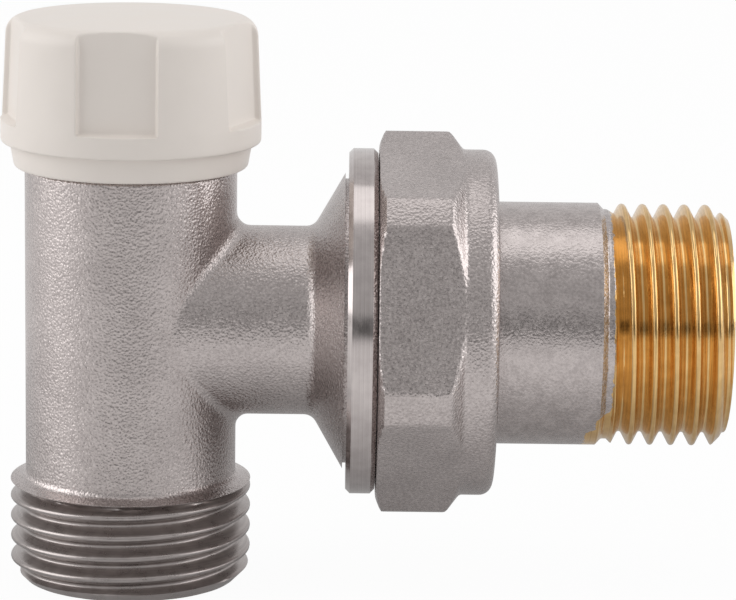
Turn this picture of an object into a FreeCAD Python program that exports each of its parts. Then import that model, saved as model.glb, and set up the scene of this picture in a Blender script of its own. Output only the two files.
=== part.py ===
import FreeCAD, Part
import math
import os

# Manual angle lockshield radiator valve. All sizes are in millimetres.
# The origin is the centre of the pipe connection's end face. The barrel stands along +Z,
# and the side branch with its union leaves along +X at the height SIDE_Z.
# Screw threads are shown as plain cylinders at their outer diameter.

# Pipe and radiator connections, both half inch parallel pipe threads
PIPE_THREAD_D = 20.955
PIPE_THREAD_DEPTH = 1.162
PIPE_THREAD_LENGTH = 8.7
PIPE_RUNOUT = 0.45
PIPE_RUNOUT_ROUND = 0.6
END_CHAMFER = 0.82

# Barrel of the forged body
BARREL_D = 18.3
SHOULDER_Z = 36.3
SHOULDER_EDGE = 0.3
CAP_THREAD_D = 16.662
CAP_THREAD_LENGTH = 6.2
RIM_CHAMFER = 0.4
SIDE_Z = 22.9

# Side branch of the body: neck, flare, collar and union thread
NECK_D = 16.4
NECK_FILLET = 1.3
FLARE_FILLET = 1.2
FLARE_TOP_D = 25.7
FLARE_DEG = 60.0
COLLAR_X = 18.8
COLLAR_D = 30.0
COLLAR_WIDTH = 2.5
COLLAR_CHAMFER = 0.38
COLLAR_GROOVE_WIDTH = 0.3
COLLAR_GROOVE_DEPTH = 0.5
UNION_THREAD_D = 26.441
UNION_THREAD_DEPTH = 1.162
UNION_THREAD_LENGTH = 7.3
UNION_RELIEF_WIDTH = 1.2

# Waterways in the body
INLET_BORE_D = 13.0
INLET_BORE_TOP = 13.0
INLET_MOUTH_D = 16.0
INLET_MOUTH_DEPTH = 2.6
SEAT_HOLE_D = 8.4
SEAT_LIP_WIDTH = 0.6
SEAT_LIP_HEIGHT = 0.6
SEAT_DROP = 0.2
CHAMBER_D = 12.0
OUTLET_BORE_D = 10.8
NOSE_BORE_D = 19.2
NOSE_BORE_DEPTH = 5.2
NOSE_BORE_CONE = 4.0
NOSE_BORE_CHAMFER = 0.5

# Bonnet, screwed into the barrel's top
BONNET_THREAD_D = 13.0
BONNET_THREAD_LENGTH = 7.8
BONNET_SPIGOT_LENGTH = 3.2
BONNET_HEX_AF = 14.0
BONNET_HEX_HEIGHT = 2.5
BONNET_HEX_CHAMFER = 0.6
BONNET_GROOVE_WIDTH = 1.5
BONNET_GROOVE_DEPTH = 1.1

# Regulating spindle with its two stem seals
SPINDLE_THREAD_D = 8.0
SPINDLE_THREAD_LENGTH = 4.5
STEM_D = 6.8
STEM_BORE_LENGTH = 6.0
STEM_TOP_DROP = 0.5
STEM_TOP_CHAMFER = 0.4
STEM_SOCKET_AF = 4.0
STEM_SOCKET_DEPTH = 3.6
STEM_RING_SECTION_D = 1.3
STEM_RING_SPACING = 2.4
SPINDLE_ROD_D = 4.8
SPINDLE_NECK_D = 3.2
SPINDLE_HEAD_D = 4.9
SPINDLE_HEAD_HEIGHT = 1.3
VALVE_OPENING = 2.0
VALVE_SPARE_LIFT = 2.0

# Obturator with its washer and screw
OBTURATOR_D = 10.6
OBTURATOR_RIM_HEIGHT = 2.4
OBTURATOR_RIM_WALL = 0.3
OBTURATOR_HUB_D = 7.2
OBTURATOR_HUB_HEIGHT = 4.6
OBTURATOR_LIP = 1.0
WASHER_THICKNESS = 1.8
WASHER_PROUD = 0.7
WASHER_HOLE_D = 3.2
SCREW_D = 3.0
SCREW_LENGTH = 4.2
SCREW_HEAD_D = 5.0
SCREW_HEAD_HEIGHT = 1.1
SCREW_SLOT_WIDTH = 0.7
SCREW_SLOT_DEPTH = 0.5

# Moulded protective cap
CAP_SKIRT_D = 20.9
CAP_SKIRT_TAPER = 0.4
CAP_SKIRT_HEIGHT = 2.15
CAP_SKIRT_ROUND = 0.3
CAP_CROWN_D = 22.4
CAP_FOOT_HEIGHT = 1.9
CAP_HEIGHT = 13.15
CAP_DRAFT_DEG = 2.6
CAP_TOP_ROUND = 1.6
CAP_DOME = 0.35
CAP_ROOF = 1.8
CAP_BOSS_D = 14.4
CAP_BOSS_BORE_D = 7.8
CAP_EDGE = 0.25
POCKET_COUNT = 5
POCKET_FLAT = 10.15
POCKET_WIDTH = 6.7
POCKET_LEDGE_DEG = 10.0
POCKET_TURN_DEG = -3.4
GASKET_OUTER_D = 13.6
GASKET_INNER_D = 8.6
GASKET_THICKNESS = 1.2
GASKET_GROOVE_DEPTH = 0.4

# Union nut
NUT_AF = 30.0
NUT_CORNER_D = 33.1
NUT_HEX_LENGTH = 6.1
NUT_FACE_D = 30.7
NUT_FRONT_CHAMFER_DEG = 22.0
NUT_BACK_CHAMFER_DEG = 37.0
NUT_SHOULDER_D = 30.0
NUT_SHOULDER_ROUND = 1.1
NUT_SHOULDER_WALL = 1.2
NUT_TURN_DEG = 14.7

# Tail piece and its seal
TAIL_D = 21.04
TAIL_REACH = 22.9
TAIL_THREAD_LENGTH = 10.2
TAIL_BORE_D = 15.2
TAIL_FLANGE_D = 23.8
TAIL_FLANGE_WIDTH = 1.5
TAIL_NOSE_LENGTH = 4.6
TAIL_GROOVE_WIDTH = 1.7
TAIL_GROOVE_DEPTH = 1.2
TAIL_NECKING = 0.5
TAIL_LUG_WIDTH = 2.6
TAIL_LUG_HEIGHT = 1.2
TAIL_LUG_LENGTH = 8.0
TAIL_LUG_SETBACK = 1.5

# Clearances
RUNNING_GAP = 0.05
THREAD_GAP = 0.08
FACE_GAP = 0.1
SEAL_GAP = 0.03
SEAM_TOLERANCE = 0.01

# Radii and places that follow from the sizes above
THREAD_R = PIPE_THREAD_D / 2
BARREL_R = BARREL_D / 2
RIM_Z = SHOULDER_Z + CAP_THREAD_LENGTH
COLLAR_END_X = COLLAR_X + COLLAR_WIDTH
BODY_END_X = COLLAR_END_X + UNION_THREAD_LENGTH
CHAMBER_R = CHAMBER_D / 2
SEAT_Z = SIDE_Z - OUTLET_BORE_D / 2 - SEAT_DROP
BONNET_THREAD_Z = RIM_Z - BONNET_THREAD_LENGTH
BONNET_Z = BONNET_THREAD_Z - BONNET_SPIGOT_LENGTH
BONNET_TOP_Z = RIM_Z + BONNET_HEX_HEIGHT
BONNET_SPIGOT_R = CHAMBER_R - RUNNING_GAP
BONNET_GROOVE_Z = BONNET_Z + BONNET_SPIGOT_LENGTH / 2
STEM_R = STEM_D / 2
STEM_BORE_R = STEM_R + RUNNING_GAP
STEM_BORE_Z = BONNET_TOP_Z - STEM_BORE_LENGTH
STEM_RING_Z = STEM_BORE_Z + STEM_BORE_LENGTH / 2
WASHER_Z = SEAT_Z + VALVE_OPENING
OBTURATOR_Z = WASHER_Z + WASHER_PROUD
OBTURATOR_RIM_Z = OBTURATOR_Z + OBTURATOR_RIM_HEIGHT
OBTURATOR_TOP_Z = OBTURATOR_RIM_Z + OBTURATOR_HUB_HEIGHT
SPINDLE_HEAD_TOP_Z = OBTURATOR_TOP_Z - OBTURATOR_LIP - FACE_GAP
CAP_Z = SHOULDER_Z + FACE_GAP
CAP_FOOT_Z = CAP_Z + CAP_SKIRT_HEIGHT
POCKET_Z = CAP_FOOT_Z + CAP_FOOT_HEIGHT
CAP_TOP_Z = CAP_Z + CAP_HEIGHT
CAP_BORE_R = CAP_THREAD_D / 2 + THREAD_GAP
GASKET_Z = BONNET_TOP_Z + RUNNING_GAP
GASKET_TOP_Z = GASKET_Z + GASKET_THICKNESS
NUT_X = COLLAR_END_X + FACE_GAP
TAIL_X = BODY_END_X + FACE_GAP
TAIL_FLANGE_END_X = TAIL_X + TAIL_FLANGE_WIDTH
NUT_SHOULDER_X = TAIL_FLANGE_END_X + FACE_GAP
NUT_END_X = NUT_SHOULDER_X + NUT_SHOULDER_WALL
TAIL_END_X = TAIL_X + TAIL_REACH
TAIL_NOSE_R = NOSE_BORE_D / 2 - 2 * RUNNING_GAP
TAIL_GROOVE_X = TAIL_X - TAIL_NOSE_LENGTH / 2

ORIGIN = FreeCAD.Vector(0, 0, 0)
SIDE_ORIGIN = FreeCAD.Vector(0, 0, SIDE_Z)
X_AXIS = FreeCAD.Vector(1, 0, 0)
Z_AXIS = FreeCAD.Vector(0, 0, 1)


def upright(radius, height):
    """A point of a profile that is turned about the barrel's axis."""
    return FreeCAD.Vector(radius, 0, height)


def sideways(along, radius):
    """A point of a profile that is turned about the side branch's axis."""
    return FreeCAD.Vector(along, 0, SIDE_Z + radius)


def outline(corners, place):
    """A closed face through corners (u, v) or (u, v, rounding radius)."""
    points = [place(corner[0], corner[1]) for corner in corners]
    starts = []
    ends = []
    arcs = []
    for index, corner in enumerate(corners):
        here = points[index]
        if len(corner) == 2:
            starts.append(here)
            ends.append(here)
            arcs.append(None)
            continue
        before = (points[index - 1] - here).normalize()
        after = (points[(index + 1) % len(points)] - here).normalize()
        half = before.getAngle(after) / 2
        reach = corner[2] / math.tan(half)
        middle_line = (before + after).normalize()
        middle = here + middle_line * (corner[2] / math.sin(half) - corner[2])
        starts.append(here + before * reach)
        ends.append(here + after * reach)
        arcs.append(Part.Arc(starts[-1], middle, ends[-1]).toShape())
    edges = []
    for index in range(len(points)):
        if arcs[index]:
            edges.append(arcs[index])
        following = (index + 1) % len(points)
        edges.append(Part.LineSegment(ends[index], starts[following]).toShape())
    return Part.Face(Part.Wire(edges))


def turned_upright(corners):
    return outline(corners, upright).revolve(ORIGIN, Z_AXIS, 360)


def turned_sideways(corners):
    return outline(corners, sideways).revolve(SIDE_ORIGIN, X_AXIS, 360)


def hexagon_corner_r(across_flats):
    return across_flats / 2 / math.cos(math.radians(30))


def hexagon_prism(across_flats, height, base, axis, turn_deg=0.0):
    """A six-sided bar along axis from base, turned about that axis."""
    corner_r = hexagon_corner_r(across_flats)
    points = []
    for index in range(7):
        angle = math.radians(60 * index + 30)
        points.append(FreeCAD.Vector(corner_r * math.cos(angle), corner_r * math.sin(angle), 0))
    bar = Part.Face(Part.makePolygon(points)).extrude(Z_AXIS * height)
    bar.rotate(ORIGIN, Z_AXIS, turn_deg)
    bar.Placement = FreeCAD.Placement(base, FreeCAD.Rotation(Z_AXIS, axis)) * bar.Placement
    return bar


def seal_ring(centre, axis, inner_r, outer_r):
    """An O-ring that fills the room between two radii."""
    section_r = (outer_r - inner_r) / 2
    return Part.makeTorus(inner_r + section_r, section_r, centre, axis)


def outer_forging():
    """The body before boring: the barrel and the side branch, blended where they meet."""
    barrel = turned_upright([
        (0, 0),
        (THREAD_R - END_CHAMFER, 0),
        (THREAD_R, END_CHAMFER),
        (THREAD_R, PIPE_THREAD_LENGTH),
        (BARREL_R, PIPE_THREAD_LENGTH + PIPE_RUNOUT, PIPE_RUNOUT_ROUND),
        (BARREL_R, SHOULDER_Z, SHOULDER_EDGE),
        (CAP_THREAD_D / 2, SHOULDER_Z),
        (CAP_THREAD_D / 2, RIM_Z - RIM_CHAMFER),
        (CAP_THREAD_D / 2 - RIM_CHAMFER, RIM_Z),
        (0, RIM_Z),
    ])
    neck_r = NECK_D / 2
    flare_r = FLARE_TOP_D / 2
    flare_end_x = COLLAR_X - COLLAR_GROOVE_WIDTH
    flare_x = flare_end_x - (flare_r - neck_r) / math.tan(math.radians(FLARE_DEG))
    groove_r = flare_r - COLLAR_GROOVE_DEPTH
    collar_r = COLLAR_D / 2
    union_r = UNION_THREAD_D / 2
    relief_r = union_r - UNION_THREAD_DEPTH
    branch = turned_sideways([
        (0, 0),
        (0, neck_r),
        (flare_x, neck_r, FLARE_FILLET),
        (flare_end_x, flare_r),
        (flare_end_x, groove_r),
        (COLLAR_X, groove_r),
        (COLLAR_X, collar_r - COLLAR_CHAMFER),
        (COLLAR_X + COLLAR_CHAMFER, collar_r),
        (COLLAR_END_X - COLLAR_CHAMFER, collar_r),
        (COLLAR_END_X, collar_r - COLLAR_CHAMFER),
        (COLLAR_END_X, relief_r),
        (COLLAR_END_X + UNION_RELIEF_WIDTH - UNION_THREAD_DEPTH / 2, relief_r),
        (COLLAR_END_X + UNION_RELIEF_WIDTH, union_r),
        (BODY_END_X - END_CHAMFER, union_r),
        (BODY_END_X, union_r - END_CHAMFER),
        (BODY_END_X, 0),
    ])
    forging = barrel.fuse(branch).removeSplitter()
    seams = [edge for edge in forging.Edges if lies_on_both_cylinders(edge, neck_r)]
    return forging.makeFillet(NECK_FILLET, seams)


def lies_on_both_cylinders(edge, neck_r):
    """Whether an edge is where the neck runs into the barrel."""
    for share in (0.2, 0.5, 0.8):
        first, last = edge.ParameterRange
        point = edge.valueAt(first + share * (last - first))
        from_barrel = math.hypot(point.x, point.y) - BARREL_R
        from_neck = math.hypot(point.y, point.z - SIDE_Z) - neck_r
        if max(abs(from_barrel), abs(from_neck)) > SEAM_TOLERANCE:
            return False
    return True


def valve_body():
    """The forging with its inlet, seat, valve chamber, outlet and union bore."""
    seat_r = SEAT_HOLE_D / 2
    lip_r = seat_r + SEAT_LIP_WIDTH
    inlet_r = INLET_BORE_D / 2
    bonnet_bore_r = BONNET_THREAD_D / 2 + THREAD_GAP
    past = END_CHAMFER
    upright_bore = turned_upright([
        (0, -past),
        (INLET_MOUTH_D / 2, -past),
        (INLET_MOUTH_D / 2, 0),
        (inlet_r, INLET_MOUTH_DEPTH),
        (inlet_r, INLET_BORE_TOP),
        (seat_r, INLET_BORE_TOP + inlet_r - seat_r),
        (seat_r, SEAT_Z),
        (lip_r, SEAT_Z),
        (lip_r, SEAT_Z - SEAT_LIP_HEIGHT),
        (CHAMBER_R, SEAT_Z - SEAT_LIP_HEIGHT),
        (CHAMBER_R, BONNET_THREAD_Z - FACE_GAP),
        (bonnet_bore_r, BONNET_THREAD_Z - FACE_GAP),
        (bonnet_bore_r, RIM_Z + past),
        (0, RIM_Z + past),
    ])
    nose_r = NOSE_BORE_D / 2
    nose_x = BODY_END_X - NOSE_BORE_DEPTH
    side_bore = turned_sideways([
        (0, 0),
        (0, OUTLET_BORE_D / 2),
        (nose_x - NOSE_BORE_CONE, OUTLET_BORE_D / 2),
        (nose_x, nose_r),
        (BODY_END_X - NOSE_BORE_CHAMFER, nose_r),
        (BODY_END_X, nose_r + NOSE_BORE_CHAMFER),
        (BODY_END_X + past, nose_r + NOSE_BORE_CHAMFER),
        (BODY_END_X + past, 0),
    ])
    return outer_forging().cut(upright_bore).cut(side_bore)


def bonnet():
    """Screwed headwork: a spigot with a seal groove, a thread and a hexagon head."""
    thread_r = BONNET_THREAD_D / 2
    spindle_bore_r = SPINDLE_THREAD_D / 2 + THREAD_GAP
    groove_r = BONNET_SPIGOT_R - BONNET_GROOVE_DEPTH
    groove_low = BONNET_GROOVE_Z - BONNET_GROOVE_WIDTH / 2
    groove_high = BONNET_GROOVE_Z + BONNET_GROOVE_WIDTH / 2
    insert = turned_upright([
        (0, BONNET_Z),
        (BONNET_SPIGOT_R, BONNET_Z),
        (BONNET_SPIGOT_R, groove_low),
        (groove_r, groove_low),
        (groove_r, groove_high),
        (BONNET_SPIGOT_R, groove_high),
        (BONNET_SPIGOT_R, BONNET_THREAD_Z),
        (thread_r, BONNET_THREAD_Z),
        (thread_r, RIM_Z),
        (0, RIM_Z),
    ])
    corner_r = hexagon_corner_r(BONNET_HEX_AF)
    head = hexagon_prism(BONNET_HEX_AF, BONNET_HEX_HEIGHT, upright(0, RIM_Z), Z_AXIS)
    head = head.common(turned_upright([
        (0, RIM_Z),
        (corner_r, RIM_Z),
        (corner_r, BONNET_TOP_Z - BONNET_HEX_CHAMFER),
        (BONNET_HEX_AF / 2, BONNET_TOP_Z),
        (0, BONNET_TOP_Z),
    ]))
    bore = turned_upright([
        (0, BONNET_Z - FACE_GAP),
        (spindle_bore_r, BONNET_Z - FACE_GAP),
        (spindle_bore_r, STEM_BORE_Z),
        (STEM_BORE_R, STEM_BORE_Z),
        (STEM_BORE_R, BONNET_TOP_Z + FACE_GAP),
        (0, BONNET_TOP_Z + FACE_GAP),
    ])
    piece = insert.fuse(head).cut(bore)
    groove_half = STEM_RING_SECTION_D / 2 + SEAL_GAP
    groove_outer_r = STEM_R + SEAL_GAP + STEM_RING_SECTION_D + SEAL_GAP
    for ring_z in stem_ring_heights():
        piece = piece.cut(turned_upright([
            (0, ring_z - groove_half),
            (groove_outer_r, ring_z - groove_half),
            (groove_outer_r, ring_z + groove_half),
            (0, ring_z + groove_half),
        ]))
    return piece


def stem_ring_heights():
    return STEM_RING_Z - STEM_RING_SPACING / 2, STEM_RING_Z + STEM_RING_SPACING / 2


def bonnet_o_ring():
    groove_r = BONNET_SPIGOT_R - BONNET_GROOVE_DEPTH
    return seal_ring(upright(0, BONNET_GROOVE_Z), Z_AXIS, groove_r + SEAL_GAP, CHAMBER_R - SEAL_GAP)


def stem_o_ring(height):
    inner_r = STEM_R + SEAL_GAP
    return seal_ring(upright(0, height), Z_AXIS, inner_r, inner_r + STEM_RING_SECTION_D)


def spindle():
    """Regulating spindle: crimped head, rod, drive thread and socketed stem."""
    head_r = SPINDLE_HEAD_D / 2
    neck_r = SPINDLE_NECK_D / 2
    rod_r = SPINDLE_ROD_D / 2
    thread_r = SPINDLE_THREAD_D / 2
    rod_z = OBTURATOR_TOP_Z + FACE_GAP
    thread_top = STEM_BORE_Z - VALVE_SPARE_LIFT - FACE_GAP
    top = BONNET_TOP_Z - STEM_TOP_DROP
    shaft = turned_upright([
        (0, SPINDLE_HEAD_TOP_Z - SPINDLE_HEAD_HEIGHT),
        (head_r, SPINDLE_HEAD_TOP_Z - SPINDLE_HEAD_HEIGHT),
        (head_r, SPINDLE_HEAD_TOP_Z),
        (neck_r, SPINDLE_HEAD_TOP_Z),
        (neck_r, rod_z),
        (rod_r, rod_z),
        (rod_r, thread_top - SPINDLE_THREAD_LENGTH),
        (thread_r, thread_top - SPINDLE_THREAD_LENGTH),
        (thread_r, thread_top),
        (STEM_R, thread_top),
        (STEM_R, top - STEM_TOP_CHAMFER),
        (STEM_R - STEM_TOP_CHAMFER, top),
        (0, top),
    ])
    socket_z = upright(0, top - STEM_SOCKET_DEPTH)
    socket = hexagon_prism(STEM_SOCKET_AF, STEM_SOCKET_DEPTH + FACE_GAP, socket_z, Z_AXIS)
    return shaft.cut(socket)


def obturator():
    """Holder with a washer seat below and a lip crimped over the spindle's head."""
    rim_r = OBTURATOR_D / 2
    hub_r = OBTURATOR_HUB_D / 2
    washer_top = WASHER_Z + WASHER_THICKNESS
    holder = turned_upright([
        (0, washer_top),
        (rim_r - OBTURATOR_RIM_WALL, washer_top),
        (rim_r - OBTURATOR_RIM_WALL, OBTURATOR_Z),
        (rim_r, OBTURATOR_Z),
        (rim_r, OBTURATOR_RIM_Z),
        (hub_r, OBTURATOR_RIM_Z),
        (hub_r, OBTURATOR_TOP_Z),
        (0, OBTURATOR_TOP_Z),
    ])
    head_room = turned_upright([
        (0, SPINDLE_HEAD_TOP_Z - SPINDLE_HEAD_HEIGHT - FACE_GAP),
        (SPINDLE_HEAD_D / 2 + FACE_GAP, SPINDLE_HEAD_TOP_Z - SPINDLE_HEAD_HEIGHT - FACE_GAP),
        (SPINDLE_HEAD_D / 2 + FACE_GAP, SPINDLE_HEAD_TOP_Z + FACE_GAP),
        (SPINDLE_NECK_D / 2 + FACE_GAP, SPINDLE_HEAD_TOP_Z + FACE_GAP),
        (SPINDLE_NECK_D / 2 + FACE_GAP, OBTURATOR_TOP_Z + FACE_GAP),
        (0, OBTURATOR_TOP_Z + FACE_GAP),
    ])
    screw_hole = Part.makeCylinder(
        SCREW_D / 2 + RUNNING_GAP, SCREW_LENGTH + FACE_GAP, upright(0, WASHER_Z))
    return holder.cut(head_room).cut(screw_hole)


def seat_washer():
    return turned_upright([
        (WASHER_HOLE_D / 2, WASHER_Z),
        (OBTURATOR_D / 2 - OBTURATOR_RIM_WALL - RUNNING_GAP, WASHER_Z),
        (OBTURATOR_D / 2 - OBTURATOR_RIM_WALL - RUNNING_GAP, WASHER_Z + WASHER_THICKNESS),
        (WASHER_HOLE_D / 2, WASHER_Z + WASHER_THICKNESS),
    ])


def washer_screw():
    """Slotted screw whose head sits under the washer, inside the seat hole when shut."""
    head_z = WASHER_Z - SCREW_HEAD_HEIGHT
    screw = turned_upright([
        (0, head_z),
        (SCREW_HEAD_D / 2, head_z),
        (SCREW_HEAD_D / 2, WASHER_Z),
        (SCREW_D / 2, WASHER_Z),
        (SCREW_D / 2, WASHER_Z + SCREW_LENGTH),
        (0, WASHER_Z + SCREW_LENGTH),
    ])
    slot = Part.makeBox(SCREW_HEAD_D, SCREW_SLOT_WIDTH, SCREW_SLOT_DEPTH)
    slot.translate(FreeCAD.Vector(-SCREW_HEAD_D / 2, -SCREW_SLOT_WIDTH / 2, head_z))
    return screw.cut(slot)


def protective_cap():
    """One moulding: tapered skirt, drafted crown with grip pockets, gasket boss inside."""
    skirt_r = CAP_SKIRT_D / 2
    crown_r = CAP_CROWN_D / 2
    edge_z = CAP_TOP_Z - CAP_DOME
    draft = math.tan(math.radians(CAP_DRAFT_DEG))
    top_r = crown_r - (edge_z - POCKET_Z) * draft
    roof_z = CAP_TOP_Z - CAP_ROOF
    boss_z = GASKET_TOP_Z - GASKET_GROOVE_DEPTH + RUNNING_GAP
    groove_z = GASKET_TOP_Z + RUNNING_GAP
    moulding = turned_upright([
        (CAP_BORE_R, CAP_Z),
        (skirt_r - CAP_SKIRT_TAPER, CAP_Z, CAP_SKIRT_ROUND),
        (skirt_r, CAP_FOOT_Z),
        (crown_r, CAP_FOOT_Z, CAP_EDGE),
        (crown_r, POCKET_Z),
        (top_r, edge_z, CAP_TOP_ROUND),
        (0, CAP_TOP_Z),
        (0, roof_z),
        (CAP_BOSS_BORE_D / 2, roof_z),
        (CAP_BOSS_BORE_D / 2, boss_z),
        (GASKET_INNER_D / 2 - RUNNING_GAP, boss_z),
        (GASKET_INNER_D / 2 - RUNNING_GAP, groove_z),
        (GASKET_OUTER_D / 2 + RUNNING_GAP, groove_z),
        (GASKET_OUTER_D / 2 + RUNNING_GAP, boss_z),
        (CAP_BOSS_D / 2, boss_z),
        (CAP_BOSS_D / 2, roof_z),
        (CAP_BORE_R, roof_z),
    ])
    pocket_top_flat = POCKET_FLAT - CAP_HEIGHT * draft
    outer_r = crown_r + CAP_EDGE
    ledge_z = POCKET_Z + (crown_r - POCKET_FLAT) * math.tan(math.radians(POCKET_LEDGE_DEG))
    pocket = outline([
        (POCKET_FLAT, ledge_z),
        (crown_r, POCKET_Z),
        (outer_r, POCKET_Z),
        (outer_r, POCKET_Z + CAP_HEIGHT),
        (pocket_top_flat, ledge_z + CAP_HEIGHT),
    ], upright).extrude(FreeCAD.Vector(0, POCKET_WIDTH, 0))
    pocket.translate(FreeCAD.Vector(0, -POCKET_WIDTH / 2, 0))
    for index in range(POCKET_COUNT):
        cutter = pocket.copy()
        cutter.rotate(ORIGIN, Z_AXIS, POCKET_TURN_DEG - 90 + index * 360 / POCKET_COUNT)
        moulding = moulding.cut(cutter)
    return moulding


def cap_gasket():
    return turned_upright([
        (GASKET_INNER_D / 2, GASKET_Z),
        (GASKET_OUTER_D / 2, GASKET_Z),
        (GASKET_OUTER_D / 2, GASKET_TOP_Z),
        (GASKET_INNER_D / 2, GASKET_TOP_Z),
    ])


def union_nut():
    """Hexagon with turned corners and chamfered ends, a round shoulder and the thread bore."""
    corner_r = NUT_CORNER_D / 2
    face_r = NUT_FACE_D / 2
    shoulder_r = NUT_SHOULDER_D / 2
    hex_end_x = NUT_X + NUT_HEX_LENGTH
    front_run = (corner_r - face_r) * math.tan(math.radians(NUT_FRONT_CHAMFER_DEG))
    back_run = (corner_r - shoulder_r) * math.tan(math.radians(NUT_BACK_CHAMFER_DEG))
    bar = hexagon_prism(NUT_AF, NUT_HEX_LENGTH + back_run, sideways(NUT_X, 0), X_AXIS, NUT_TURN_DEG)
    hexagon = bar.common(turned_sideways([
        (NUT_X, 0),
        (NUT_X, face_r),
        (NUT_X + front_run, corner_r),
        (hex_end_x, corner_r),
        (hex_end_x + back_run, shoulder_r),
        (hex_end_x + back_run, 0),
    ]))
    shoulder = turned_sideways([
        (hex_end_x, 0),
        (hex_end_x, shoulder_r),
        (NUT_END_X, shoulder_r, NUT_SHOULDER_ROUND),
        (NUT_END_X, 0),
    ])
    thread_r = UNION_THREAD_D / 2 + THREAD_GAP
    tail_r = TAIL_D / 2 + 2 * FACE_GAP
    bore = turned_sideways([
        (NUT_X - FACE_GAP, 0),
        (NUT_X - FACE_GAP, thread_r),
        (NUT_SHOULDER_X, thread_r),
        (NUT_SHOULDER_X, tail_r),
        (NUT_END_X + FACE_GAP, tail_r),
        (NUT_END_X + FACE_GAP, 0),
    ])
    return hexagon.fuse(shoulder).removeSplitter().cut(bore)


def tail_piece():
    """Turned tail: sealed nose, flange held by the nut, plain neck and radiator thread."""
    bore_r = TAIL_BORE_D / 2
    groove_r = TAIL_NOSE_R - TAIL_GROOVE_DEPTH
    groove_low = TAIL_GROOVE_X - TAIL_GROOVE_WIDTH / 2
    groove_high = TAIL_GROOVE_X + TAIL_GROOVE_WIDTH / 2
    thread_x = TAIL_END_X - TAIL_THREAD_LENGTH
    tube = turned_sideways([
        (TAIL_X - TAIL_NOSE_LENGTH, bore_r),
        (TAIL_X - TAIL_NOSE_LENGTH, TAIL_NOSE_R),
        (groove_low, TAIL_NOSE_R),
        (groove_low, groove_r),
        (groove_high, groove_r),
        (groove_high, TAIL_NOSE_R),
        (TAIL_X, TAIL_NOSE_R),
        (TAIL_X, TAIL_FLANGE_D / 2),
        (TAIL_FLANGE_END_X, TAIL_FLANGE_D / 2),
        (TAIL_FLANGE_END_X, TAIL_D / 2),
        (thread_x - 2 * TAIL_NECKING, TAIL_D / 2),
        (thread_x - TAIL_NECKING, THREAD_R - TAIL_NECKING),
        (thread_x, THREAD_R - TAIL_NECKING),
        (thread_x + TAIL_NECKING, THREAD_R),
        (TAIL_END_X - END_CHAMFER, THREAD_R),
        (TAIL_END_X, THREAD_R - END_CHAMFER),
        (TAIL_END_X, bore_r),
    ])
    lug_x = TAIL_END_X - TAIL_LUG_SETBACK - TAIL_LUG_LENGTH
    lug_root = (bore_r + THREAD_R - PIPE_THREAD_DEPTH) / 2
    lug = Part.makeBox(TAIL_LUG_LENGTH, TAIL_LUG_WIDTH, lug_root - bore_r + TAIL_LUG_HEIGHT)
    lug.translate(FreeCAD.Vector(lug_x, -TAIL_LUG_WIDTH / 2, SIDE_Z + bore_r - TAIL_LUG_HEIGHT))
    opposite = lug.copy()
    opposite.rotate(SIDE_ORIGIN, X_AXIS, 180)
    return tube.fuse(lug).fuse(opposite).removeSplitter()


def tail_o_ring():
    groove_r = TAIL_NOSE_R - TAIL_GROOVE_DEPTH
    return seal_ring(
        sideways(TAIL_GROOVE_X, 0), X_AXIS, groove_r + SEAL_GAP, NOSE_BORE_D / 2 - SEAL_GAP)


ring_low, ring_high = stem_ring_heights()
pieces = {
    "valve_body": valve_body(),
    "bonnet": bonnet(),
    "bonnet_o_ring": bonnet_o_ring(),
    "stem_o_ring_lower": stem_o_ring(ring_low),
    "stem_o_ring_upper": stem_o_ring(ring_high),
    "spindle": spindle(),
    "obturator": obturator(),
    "seat_washer": seat_washer(),
    "washer_screw": washer_screw(),
    "protective_cap": protective_cap(),
    "cap_gasket": cap_gasket(),
    "union_nut": union_nut(),
    "tail_piece": tail_piece(),
    "tail_o_ring": tail_o_ring(),
}

os.makedirs("parts", exist_ok=True)
for name, shape in pieces.items():
    shape.exportStep(os.path.join("parts", name + ".step"))
    box = shape.BoundBox
    print(name, "valid", shape.isValid(), "solids", len(shape.Solids), "volume", round(shape.Volume, 2),
          "x", round(box.XMin, 2), round(box.XMax, 2), "z", round(box.ZMin, 2), round(box.ZMax, 2))
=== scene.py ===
import bmesh
import bpy
import math
from mathutils import Matrix, Vector


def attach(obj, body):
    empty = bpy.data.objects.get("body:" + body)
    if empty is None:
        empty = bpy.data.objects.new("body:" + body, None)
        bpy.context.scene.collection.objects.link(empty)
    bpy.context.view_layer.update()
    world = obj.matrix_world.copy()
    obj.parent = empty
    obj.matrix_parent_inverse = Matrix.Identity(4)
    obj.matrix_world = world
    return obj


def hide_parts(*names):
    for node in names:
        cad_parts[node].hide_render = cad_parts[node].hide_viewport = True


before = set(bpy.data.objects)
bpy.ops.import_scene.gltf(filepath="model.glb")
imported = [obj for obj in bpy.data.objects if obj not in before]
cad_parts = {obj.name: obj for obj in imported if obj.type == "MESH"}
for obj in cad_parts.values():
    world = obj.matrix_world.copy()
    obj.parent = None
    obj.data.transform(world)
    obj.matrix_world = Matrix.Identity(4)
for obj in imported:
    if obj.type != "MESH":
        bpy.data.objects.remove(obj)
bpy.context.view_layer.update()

# Valve body
# One brass forging, shot-blasted and nickel plated: an upright barrel with a side branch that flares
# into a turned collar. Its pipe thread, cap thread and union thread are cut on a lathe.

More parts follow.
